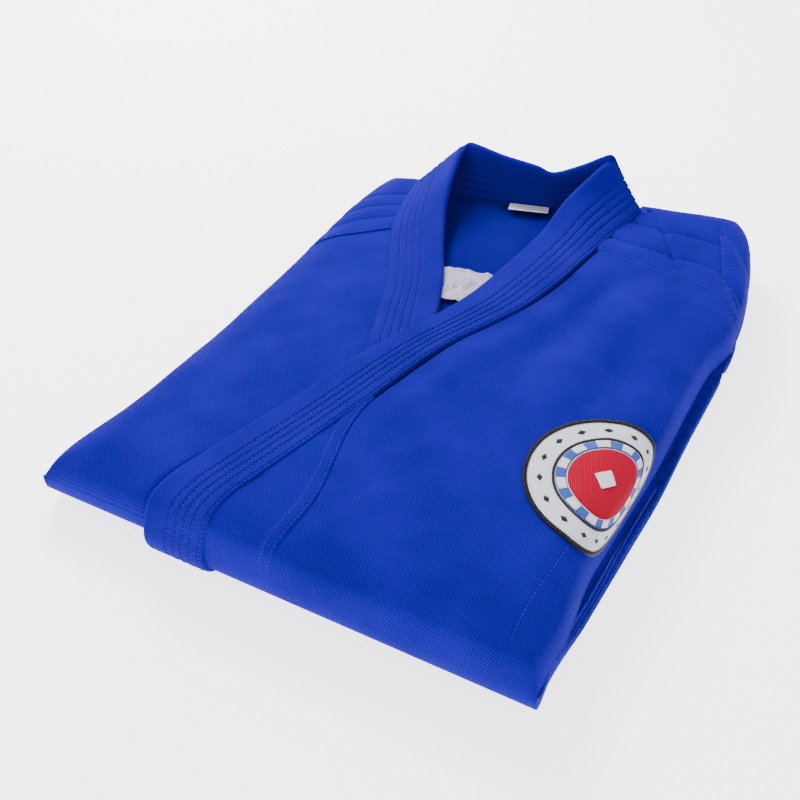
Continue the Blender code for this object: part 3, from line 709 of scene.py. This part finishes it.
def build_fronts():
    def left_inner(y):
        return np.maximum(okumi_seam_x(y) + 0.0003, band_outside(y))

    far = lap(far_y, -YOKE_IN)
    grid = chest_grid(between(left_inner, lap(front_right_x, -EDGE_IN), at(NEAR), lap(left_yoke_y, -HAIR)),
                      left_front_surface, under(left_front_surface, CLOTH, back_floor),
                      (150, 190), (0, 1, 1, 0), (0.16, 0.36))
    wrapped("left_front", grid, under_left, at(NEAR), left_low, left_thick, BLUE)
    stands_for("left_front", "left_front_panel", "left_front_skirt")
    grid = chest_grid(between(band_outside, okumi_seam_x, at(NEAR), at(OKUMI_FAR)), left_okumi_surface,
                      under(left_okumi_surface, CLOTH, back_floor), (44, 90), (0, 0, 1, 0), (0.045, 0.135))
    wrapped("left_okumi", grid, under_okumi, at(NEAR), left_low, left_thick, BLUE)
    stands_for("left_okumi", "left_okumi_panel")
    panel("left_shoulder_yoke", between(band_outside, lap(front_right_x, -YOKE_IN), left_yoke_y, far),
          left_yoke_surface, under(left_yoke_surface, YOKE_CLOTH, back_floor), BLUE, CHEST,
          (130, 100), (0, 1, 0, 1), (0.11, 0.11))
    stands_for("left_shoulder_yoke")
    grid = chest_grid(between(lap(left_x, EDGE_IN), band_inside, right_near, lap(right_yoke_y, -HAIR)),
                      right_surface, under(right_surface, RIGHT_CLOTH, back_floor),
                      (130, 170), (1, 0, 1, 0), (0.15, 0.30))
    wrapped("right_front", grid, under_right, right_near, right_low, right_thick, BLUE)
    stands_for("right_front", "right_front_panel", "right_okumi_panel", "right_front_skirt")
    panel("right_shoulder_yoke", between(lap(left_x, YOKE_IN), band_inside, right_yoke_y, far),
          right_yoke_surface, under(right_yoke_surface, YOKE_CLOTH, back_floor), BLUE, CHEST,
          (70, 100), (1, 0, 0, 1), (0.055, 0.125))
    stands_for("right_shoulder_yoke")


# ---- The collar band ----
def surface_normal(x, y):
    step = 0.0004
    slope_x = (back_top(x + step, y) - back_top(x - step, y)) / (2 * step)
    y = np.maximum(y, NEAR + 2 * step)
    slope_y = (back_top(x, y + step) - back_top(x, y - step)) / (2 * step)
    normal = joined(-slope_x, -slope_y, 1 + 0 * x)
    return normal / np.linalg.norm(normal, axis=-1, keepdims=True)


def laid(points, mid_of):
    """Band points lifted off the back panel along its own normal."""
    x, y, lift = points.T
    mid = BAND_START + (mid_of(y) - BAND_START) * ramp(y, NEAR, 0.015)
    base = joined(x, y, np.maximum(back_top(x, y), FOLD_Z + HAIR))
    placed = base + surface_normal(x, y) * mid[:, None]
    placed[:, 2] = placed[:, 2] + lift
    return placed


def rounded_run(points, count):
    """Points along a curve that starts at the near fold, closer together where it turns down there."""
    dense = smooth_curve(points, 900)
    share = spread(count, dense[-1, 1] - NEAR, 1, 0)
    wanted = NEAR + share * (dense[-1, 1] - NEAR)
    return np.stack([np.interp(wanted, dense[:, 1], dense[:, k]) for k in range(3)], -1)


CHANNELS = (0.04, 0.20, 0.33, 0.46, 0.59)  # shares of the width, from the seam
FLAT, CHANNEL_END = 0.93, 0.66  # shares where the round free edge starts and where the stitched part ends
BAND_START = 0.0006  # height of the band's middle over the back panel at the near fold
TAIL_TURN, TAIL_FLAT = 25, 65  # the left lapel's stations round the near fold, and flat under the stack
TAIL_ROWS = TAIL_TURN + TAIL_FLAT
SHORT_ROWS, STITCHED_ROWS = 12, 24  # stations a core stops short of the fold, and the stitches pass it
DASH, STITCH_PITCH, THREAD_RADIUS, THREAD_SIDES = 0.0023, 0.0030, 0.00028, 6
THREAD_IN = 0.001  # a sewn line ends this far inside the outline


def band_profile():
    """(share, height) round the band: rows of stitching sink into both faces, and the free edge is round."""
    face = np.concatenate([np.linspace(0, CHANNEL_END, 61), np.linspace(0.68, FLAT, 10)])
    height = np.full(face.shape, BAND / 2)
    for channel in CHANNELS:
        height -= 0.00095 * ridge(face, channel, 0.017)
    height -= 0.0009 * ridge(face, 0, 0.012)
    turn = np.linspace(math.pi / 2, -math.pi / 2, 11)[1:-1]
    edge = joined(FLAT + (1 - FLAT) * np.cos(turn), BAND / 2 * np.sin(turn))
    return np.concatenate([joined(face, height), edge, joined(face, -height)[::-1]])


def band_frames(seam, free):
    middle = (seam + free) / 2
    run = np.gradient(middle, axis=0)
    normal = np.cross(run, free - seam)
    return normal / np.linalg.norm(normal, axis=1, keepdims=True)


def band_piece(name, seam, free, material, body, profile):
    normal = band_frames(seam, free)
    run = run_along((seam + free) / 2)
    width = np.linalg.norm(free - seam, axis=1)
    points, uvs = [], []
    for share, height in profile:
        pucker = 0.00012 * np.sin(run * 2 * math.pi / 0.0058 + share * 40) * (0.02 < share < CHANNEL_END)
        points.append(seam + (free - seam) * share + normal * (height + pucker)[:, None])
        uvs.append(joined(share * width, run))
    rows, columns = len(seam), len(profile)
    faces = grid_faces(rows, columns, flip=True, wrap=True)
    faces += [tuple(range(columns)), tuple(range(rows * columns - 1, (rows - 1) * columns - 1, -1))]
    points, uvs = np.stack(points, 1).reshape(-1, 3), np.stack(uvs, 1).reshape(-1, 2)
    return add_piece(name, points, faces, uvs, material, body)


def build_core(name, seam, free, body):
    """The stiff canvas held inside a band."""
    band_piece(name, seam, free, CORE, body, [(0.02, 4e-4), (0.9, 4e-4), (0.9, -4e-4), (0.02, -4e-4)])
    stands_for(name, slot="band_core")


def tail_path(x):
    """Middle of a band's edge under the stack, from the hem to the near fold."""
    turn = np.linspace(0, math.pi / 2, TAIL_TURN + 1)[1:]
    round_y = NEAR - BAND_START + TURN * (1 - np.cos(turn))
    round_z = BAND / 2 + (FOLD_Z - HAIR - BAND / 2) * (1 - np.sin(turn))
    y = np.concatenate([round_y, np.linspace(round_y[-1], SKIRT_END, TAIL_FLAT + 1)[1:]])
    z = np.concatenate([round_z, np.full(TAIL_FLAT, BAND / 2)])
    return joined(x + 0 * y, y, z)[::-1]


def band_paths():
    def left_low_mid(y):
        return LEFT_MID_LOW + (LEFT_MID - LEFT_MID_LOW) * ramp(y, -0.135, 0.06)

    left_seam = laid(rounded_run(LEFT_SEAM, 260), at(LEFT_MID))
    left_free = laid(rounded_run(LEFT_FREE, 260), left_low_mid)
    right_seam = laid(smooth_curve(RIGHT_SEAM, 230), at(RIGHT_MID))[::-1]
    right_free = laid(smooth_curve(RIGHT_FREE, 230), at(RIGHT_MID))[::-1]
    neck_seam = smooth_curve([left_seam[-1], *NECK_SEAM, right_seam[0]], 170)
    neck_free = smooth_curve([left_free[-1], *NECK_FREE, right_free[0]], 170)
    left_seam = np.concatenate([tail_path(left_seam[0, 0]), left_seam])
    left_free = np.concatenate([tail_path(left_free[0, 0]), left_free])
    return {"left_lapel": (left_seam, left_free), "back_neck": (neck_seam, neck_free),
            "right_lapel": (right_seam, right_free)}


def stitches(name, rows, body):
    """Short raised threads along rows of (points, normals)."""
    points, faces, uvs = [], [], []
    for line, normals in rows:
        run = run_along(line)
        for start in np.arange(0.001, run[-1] - DASH, STITCH_PITCH):
            places = start + DASH * np.array([0, 0.12, 0.5, 0.88, 1])
            centre = np.stack([np.interp(places, run, line[:, k]) for k in range(3)], -1)
            normal = np.stack([np.interp(places, run, normals[:, k]) for k in range(3)], -1)
            ahead = centre[-1] - centre[0]
            ahead /= max(np.linalg.norm(ahead), 1e-9)
            base = len(points)
            for ring, size in enumerate((0.25, 0.8, 1.0, 0.8, 0.25)):
                up = normal[ring] / max(np.linalg.norm(normal[ring]), 1e-9)
                side = np.cross(ahead, up)
                sunk = centre[ring] - up * THREAD_RADIUS * (1 - size) * 1.4
                for k in range(THREAD_SIDES):
                    angle = 2 * math.pi * k / THREAD_SIDES
                    offset = up * math.cos(angle) + side * math.sin(angle)
                    points.append(sunk + offset * THREAD_RADIUS * size)
                    uvs.append((k * 0.0003, places[ring]))
            faces += grid_faces(5, THREAD_SIDES, base, wrap=True)
            faces.append(tuple(base + k for k in range(THREAD_SIDES - 1, -1, -1)))
            faces.append(tuple(base + 4 * THREAD_SIDES + k for k in range(THREAD_SIDES)))
    piece = add_piece(name, points, faces, uvs, THREAD, body)
    return piece


def build_bands():
    for side, (seam, free) in band_paths().items():
        wraps = side == "left_lapel"
        body = None if wraps else CHEST
        piece = band_piece(f"{side}_facing", seam, free, LAPEL_BLUE, body, band_profile())
        stands_for(f"{side}_facing")
        normal = band_frames(seam, free)
        first = TAIL_ROWS - STITCHED_ROWS if wraps else 0
        rows = []
        for channel in CHANNELS:
            middle = seam + (free - seam) * channel
            for face in (1, -1) if side == "back_neck" else (1,):
                height = face * (BAND / 2 - 0.00060)
                rows.append(((middle + normal * height)[first:], face * normal[first:]))
        thread = stitches(f"{side}_stitching", rows, body)
        if wraps:
            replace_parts(bend(piece), "left_lapel_tail_facing")
            bend(thread)
            end = TAIL_ROWS - SHORT_ROWS
            build_core("left_lapel_tail_core", seam[:end], free[:end], SKIRT)
        inner = TAIL_ROWS + SHORT_ROWS if wraps else 0
        build_core(f"{side}_core", seam[inner:], free[inner:], CHEST)


# ---- Inside: back panel, folded sides, sleeves ----
def share_of_chest(share):
    return lambda x, y: FOLD_Z + 0.0004 + share * (back_top(x, y) - FOLD_Z - 0.0004)


def sleeve_low(x, y):
    drop = np.clip((y - SKIRT_END - 0.0015) / 0.0060, 0.0, 1.0)
    return share_of_chest(0.03)(x, y) * (1 - drop) + 0.0004 * drop


def square(x, y):
    """A small reinforcing patch."""
    return between(at(x - 0.02), at(x + 0.02), at(y - 0.02), at(y + 0.02))


def back_surface(x, y):
    """Two soft ridges run down the neck opening, and the cloth is lower under the label."""
    in_neck = ramp(y, 0.02, 0.08) * np.exp(-(((x + 0.030) / 0.045) ** 4)) * (1 - ramp(y, 0.150, 0.022))
    under_label = np.exp(-((np.hypot(x + 0.023, y - 0.184) / 0.022) ** 4))
    along = x + 0.35 * (y - 0.13)
    ridges = ridge(along, -0.062, 0.007) + 0.8 * ridge(along, -0.010, 0.009)
    z = back_top(x, y) - 0.0012 + 0.0005 * waves(x, y, 0.06, 0.9) - 0.0016 * under_label
    return z + in_neck * (0.0022 * ridges - 0.0012 * ridge(along, -0.036, 0.012))


def build_inside():
    # The back panel and folded sides take the cotton with painted shade
    panel("back_panel",
          between(lap(left_x, 0.017), lap(front_right_x, -0.017), at(NEAR + 0.024), lap(far_y, -0.004)),
          back_surface, share_of_chest(0.74), SHADED_INNER_BLUE, CHEST, (90, 160), (0, 0, 0, 1), (0.30, 0.42))
    stands_for("back_panel")
    for side, outer in (("left", 1), ("right", -1)):
        limits = (at(0.0010), lap(right_x, -0.0045)) if outer > 0 else (lap(left_x, 0.009), at(-0.0010))
        folded(f"{side}_side_fold", between(*limits, at(NEAR + 0.020), lap(far_y, -0.024)),
               share_of_chest(0.46), share_of_chest(0.66), SHADED_INNER_BLUE, CHEST, (40, 90), 1, 0.0010, outer)
        folded(f"{side}_sleeve", between(*limits, at(SLEEVE_END), lap(far_y, -0.010)),
               sleeve_low, share_of_chest(0.36), BLUE, CHEST, (40, 90), 3, 0.0045, outer + 2)
        folded(f"{side}_sleeve_cuff", between(*limits, at(SLEEVE_END - CUFF), at(SLEEVE_END - 0.0008)),
               share_of_chest(0.03), share_of_chest(0.37), LAPEL_BLUE, CHEST, (40, 16), 2, 0.0010, outer)
        folded(f"{side}_underarm_gusset", square(GUSSET_X * outer, 0.035),
               share_of_chest(0.385), share_of_chest(0.43), BLUE, CHEST, (14, 14), 1, 0.0004)
        for part in ("side_fold", "sleeve", "sleeve_cuff", "underarm_gusset"):
            stands_for(f"{side}_{part}")


def tilted(x, y, turn, width, length, hang=0.5):
    """A turned rectangle at this place. `hang` is the share of its length that lies below the place."""

    def region(u, v):
        across, up = (u - 0.5) * width, (v - hang) * length
        return (x + across * math.cos(turn) - up * math.sin(turn),
                y + across * math.sin(turn) + up * math.cos(turn))

    return region


def build_labels():
    def patch_surface(x, y):
        wide, fine = waves(x, y, 0.030, 0.5), waves(x, y, 0.013, 2.2)
        return back_top(x, y) + 0.0006 + (0.0024 * (1 - np.abs(wide)) + 0.0007 * (1 - np.abs(fine)))

    def label_surface(x, y):
        down = np.clip((LABEL_Y + (x - LABEL_X) * 0.268 - y) / LABEL_LENGTH, 0, 1)
        return back_top(x, y) + 0.0012 + 0.0022 * down * down

    panel("size_patch", tilted(*PATCH), patch_surface, under(patch_surface, 0.0008), SATIN, CHEST,
          (80, 64), (0, 0, 0, 0), PATCH[3:])
    panel("neck_label", tilted(LABEL_X, LABEL_Y, LABEL_TURN, LABEL_WIDTH, LABEL_LENGTH, 1), label_surface,
          under(label_surface, THIN_CLOTH), LABEL, "label_flap", (32, 16), (0, 0, 0, 0),
          (LABEL_WIDTH, LABEL_LENGTH))
    stands_for("size_patch", slot="satin_patch")
    stands_for("neck_label", slot="woven_label")


# ---- Badge ----
def over_side(x, y):
    start, reach = front_right_x(y) - ROUND, ROUND - 0.0004
    bent = start + reach * np.tanh(np.maximum(x - start, 0) / reach)
    return np.where(x <= start, x, bent)


def badge_piece(name, material, inner, outer, lift, height, steps, rings, wave=0):
    """A ring or disc of embroidery laid on the left front and bent over the side, rounded at its rims.
    `wave` is the number of threads round it."""
    share = np.linspace(0, 1, rings)
    radius = inner + (outer - inner) * share
    angle = np.linspace(0, 2 * math.pi, steps, endpoint=False)
    around, out = np.meshgrid(angle, radius)
    crown = 1 - (2 * share - 1) ** 6 if inner else 1 - share ** 10
    threaded = 1 + 0.22 * np.sin(around * wave + out * 900) * (wave > 0)
    rise = np.sqrt(np.maximum(crown, 0))[:, None] * (height * threaded)
    flat_x, y = BADGE_X + out * np.cos(around), BADGE_Y + out * np.sin(around)
    x = over_side(flat_x, y)
    base = left_front_surface(x, y) + lift
    top = joined(x, y, base + rise).reshape(-1, 3)
    low = joined(x, y, base - 0.0001).reshape(-1, 3)
    half = len(top)
    faces = grid_faces(rings, steps, 0, wrap=True, flip=True)
    faces += grid_faces(rings, steps, half, wrap=True)
    last = (rings - 1) * steps
    for k in range(steps):
        after = (k + 1) % steps
        faces.append((last + k, last + k + half, last + after + half, last + after))
        if inner:
            faces.append((after, after + half, k + half, k))
    if inner:
        uv = joined(around * (inner + outer) / 2, out).reshape(-1, 2)
    else:
        uv = joined(flat_x, y).reshape(-1, 2)
        faces.append(tuple(range(steps)))
        faces.append(tuple(half + k for k in range(steps - 1, -1, -1)))
    add_piece(name, np.concatenate([top, low]), faces, np.concatenate([uv, uv]), material, CHEST)


def build_lozenges():
    """Small dark lozenges evenly round the badge's pale border, one mesh."""
    points, faces, uvs = [], [], []
    for k in range(LOZENGES):
        angle = 2 * math.pi * k / LOZENGES
        base = len(points)
        for share, rise in ((1.0, 0.0), (0.8, 0.0005), (0.0, 0.0006)):
            for j in range(16):
                turn = 2 * math.pi * j / 16
                reach = LOZENGE_SIZE * share / (abs(math.cos(turn)) + 0.6 * abs(math.sin(turn)) + 1e-6)
                out = LOZENGE_RADIUS + reach * 0.6 * math.cos(turn)
                about = angle + reach * 0.6 * math.sin(turn) / LOZENGE_RADIUS
                flat_x, y = BADGE_X + out * math.cos(about), BADGE_Y + out * math.sin(about)
                x = float(over_side(flat_x, y))
                points.append((x, y, float(left_front_surface(np.array(x), np.array(y))) + 0.0013 + rise))
                uvs.append((flat_x, y))
        faces += grid_faces(3, 16, base, wrap=True)
        faces.append(tuple(base + j for j in range(15, -1, -1)))
    add_piece("badge_lozenges", points, faces, uvs, BLACK, CHEST)


def on_badge(height):
    return lambda x, y: left_front_surface(x, y) + height


def build_wedge(name, angle):
    """A white wedge across the badge's blue field."""

    def region(u, v):
        out = BADGE_DISC + 0.0012 + (BADGE_RING[0] - BADGE_DISC - 0.0020) * v
        about = angle + (u - 0.5) * math.pi / WEDGES
        y = BADGE_Y + out * np.sin(about)
        return over_side(BADGE_X + out * np.cos(about), y), y

    surface = on_badge(0.0022)
    piece = panel(name, region, surface, under(surface, THIN_CLOTH), WHITE, CHEST, (8, 8), (0, 0, 0, 0),
                  (0.007, 0.006), 0.0002)


def build_badge():
    # name, slot, material, inner and outer radius, lift, height, steps round it, rings, threads round it
    for name, slot, *shape in (
            ("badge_ground", "badge_white", WHITE, 0, BADGE_GROUND + 0.001, 0.0003, 0.0010, 140, 44),
            ("badge_edging", "badge_black", BLACK, BADGE_GROUND, BADGE_EDGE, 0.0002, 0.0016, 900, 12, 210),
            ("badge_ring", "badge_black", BLACK, *BADGE_RING, 0.0012, 0.0008, 500, 8, 130),
            ("badge_field", "badge_pale_blue", PALE_BLUE, BADGE_DISC + HAIR, BADGE_RING[0] - HAIR,
             0.0012, 0.0006, 200, 12),
            ("badge_disc", "badge_red", RED, 0, BADGE_DISC, 0.0012, 0.0010, 160, 30)):
        badge_piece(name, *shape)
        stands_for(name, slot=slot)

    def diamond_region(u, v):
        x, y = tilted(BADGE_X - 0.004, BADGE_Y, math.radians(45), BADGE_DIAMOND, BADGE_DIAMOND)(u, v)
        return over_side(x, y), y

    surface = on_badge(0.0028)
    panel("badge_diamond", diamond_region, surface, under(surface, THIN_CLOTH), WHITE, CHEST,
          (24, 24), (0, 0, 0, 0), (BADGE_DIAMOND, BADGE_DIAMOND))
    stands_for("badge_diamond", slot="badge_white")
    build_lozenges()
    for k in range(WEDGES):
        build_wedge(f"badge_wedge_{k}", k * 2 * math.pi / WEDGES)


# ---- Skirt half ----
def level(value):
    return lambda x, y: value + 0.0 * x


def build_skirt():
    # The back skirt takes the cotton with painted shade
    folded("back_skirt",
           between(lap(left_x, 0.006), lap(right_x, -0.005), at(-0.215), at(SKIRT_END - 0.003)),
           level(0.0112), level(0.0164), SHADED_INNER_BLUE, SKIRT, (90, 90), 1, 0.0026, 0.4)
    stands_for("back_skirt")
    for side, sign in (("left", 1), ("right", -1)):
        limits = (at(0.001), lap(right_x, -0.006)) if sign > 0 else (lap(left_x, 0.006), at(-0.001))
        folded(f"{side}_side_skirt", between(*limits, at(-0.212), at(SKIRT_END - 0.006)),
               level(0.0172), level(FOLD_Z - 0.0006), BLUE, SKIRT, (60, 90), 1, 0.0030, sign)
        folded(f"{side}_vent_patch", square(VENT_X * sign, 0.040), level(0.0165), level(0.0170), BLUE, SKIRT,
               (14, 14), 1, 0.0003)
        for part in ("side_skirt", "vent_patch"):
            stands_for(f"{side}_{part}")
    middle = smooth_curve([(0.0, -0.212, 0.0094), (0.0, SKIRT_END, 0.0094)], 90)
    seam, free = middle + np.array([0.0185, 0, 0]), middle + np.array([0.0590, 0, 0])
    band_piece("right_lapel_tail_facing", seam, free, LAPEL_BLUE, SKIRT, band_profile())
    stands_for("right_lapel_tail_facing")
    build_core("right_lapel_tail_core", seam, free, SKIRT)


# ---- Sewing thread on the fronts ----
def on_surface(points, surface):
    """A sewn line's points and normals, where it lies inside the outline."""
    x, y = smooth_curve(points, 160).T
    inside = (x < front_right_x(y) - THREAD_IN) & (x > left_x(y) + THREAD_IN)
    inside &= (y < far_y(x) - THREAD_IN) & (y > NEAR + THREAD_IN)
    x, y = x[inside], y[inside]
    return joined(x, y, surface(x, y) + 0.00012), surface_normal(x, y)


def build_thread():
    for side, lines, seam, surface in (("left", LEFT_QUILTING, LEFT_YOKE_SEAM, left_yoke_surface),
                                       ("right", RIGHT_QUILTING, RIGHT_YOKE_SEAM, right_yoke_surface)):
        rows = [on_surface(line, surface) for line in (*lines, stitched(seam))]
        stitches(f"{side}_shoulder_stitching", rows, CHEST)
    rows = []
    for inset in OKUMI_STITCHES:
        y = np.linspace(NEAR + THREAD_IN, OKUMI_FAR - 0.006, 200)
        x = okumi_seam_x(y) - inset
        keep = x > left_seam_x(y) + THREAD_IN
        x, y = x[keep], y[keep]
        rows.append((joined(x, y, left_okumi_surface(x, y) + 0.0001), surface_normal(x, y)))
    stitches("okumi_stitching", rows, CHEST)
    stitches("chest_line_stitching", [on_surface(CHEST_LINE, left_front_surface)], CHEST)


# ---- Camera, light and floor ----
CAMERA, CAMERA_TARGET, LENS = (0.2016, -0.4968, 0.4400), (-0.0125, -0.0765, 0.0300), 42.75
LAMPS = (("key", (-0.8, 0.7, 1.0), 0.7, 44), ("fill", (1.0, -0.5, 1.0), 1.2, 6),
         ("front", (-0.3, -1.2, 0.7), 1.2, 7))  # name, place, size, power
LAMP_TARGET = (0, 0, 0.02)
WORLD_STRENGTH = 0.80
FLOOR_SIDE, FLOOR_Z, FLOOR_GLOW = 6.0, -0.0006, 2.6


def aim(thing, target):
    direction = Vector(target) - thing.location
    thing.rotation_euler = direction.to_track_quat("-Z", "Y").to_euler()


def add_to_scene(name, data):
    thing = bpy.data.objects.new(name, data)
    bpy.context.scene.collection.objects.link(thing)
    return thing


def build_stage():
    data = bpy.data.cameras.new("camera")
    data.lens, data.sensor_width, data.clip_start = LENS, 36, 0.01
    camera = add_to_scene("camera", data)
    camera.location = CAMERA
    aim(camera, CAMERA_TARGET)
    bpy.context.scene.camera = camera
    for name, place, size, power in LAMPS:
        light = bpy.data.lights.new(name, "AREA")
        light.shape, light.size, light.energy = "DISK", size, power
        lamp = add_to_scene(name, light)
        lamp.location = place
        aim(lamp, LAMP_TARGET)
    world = bpy.data.worlds.new("studio")
    world.use_nodes = True
    background = world.node_tree.nodes["Background"]
    background.inputs["Color"].default_value = (1, 1, 1, 1)
    background.inputs["Strength"].default_value = WORLD_STRENGTH
    bpy.context.scene.world = world
    mesh = bpy.data.meshes.new("floor")
    corners = [(x * FLOOR_SIDE, y * FLOOR_SIDE, 0) for x, y in ((-1, -1), (1, -1), (1, 1), (-1, 1))]
    mesh.from_pydata(corners, [], [(0, 1, 2, 3)])
    floor = add_to_scene("floor", mesh)
    floor.location.z = FLOOR_Z
    paint = bpy.data.materials.new("pale_floor")
    paint.use_nodes = True
    for socket, value in (("Base Color", (0.93, 0.93, 0.94, 1)), ("Roughness", 0.9),
                          ("Emission Color", (1, 1, 1, 1)), ("Emission Strength", FLOOR_GLOW)):
        paint.node_tree.nodes["Principled BSDF"].inputs[socket].default_value = value
    mesh.materials.append(paint)



build_fronts()
build_bands()
build_inside()
build_labels()
build_badge()
build_skirt()
build_thread()
build_stage()
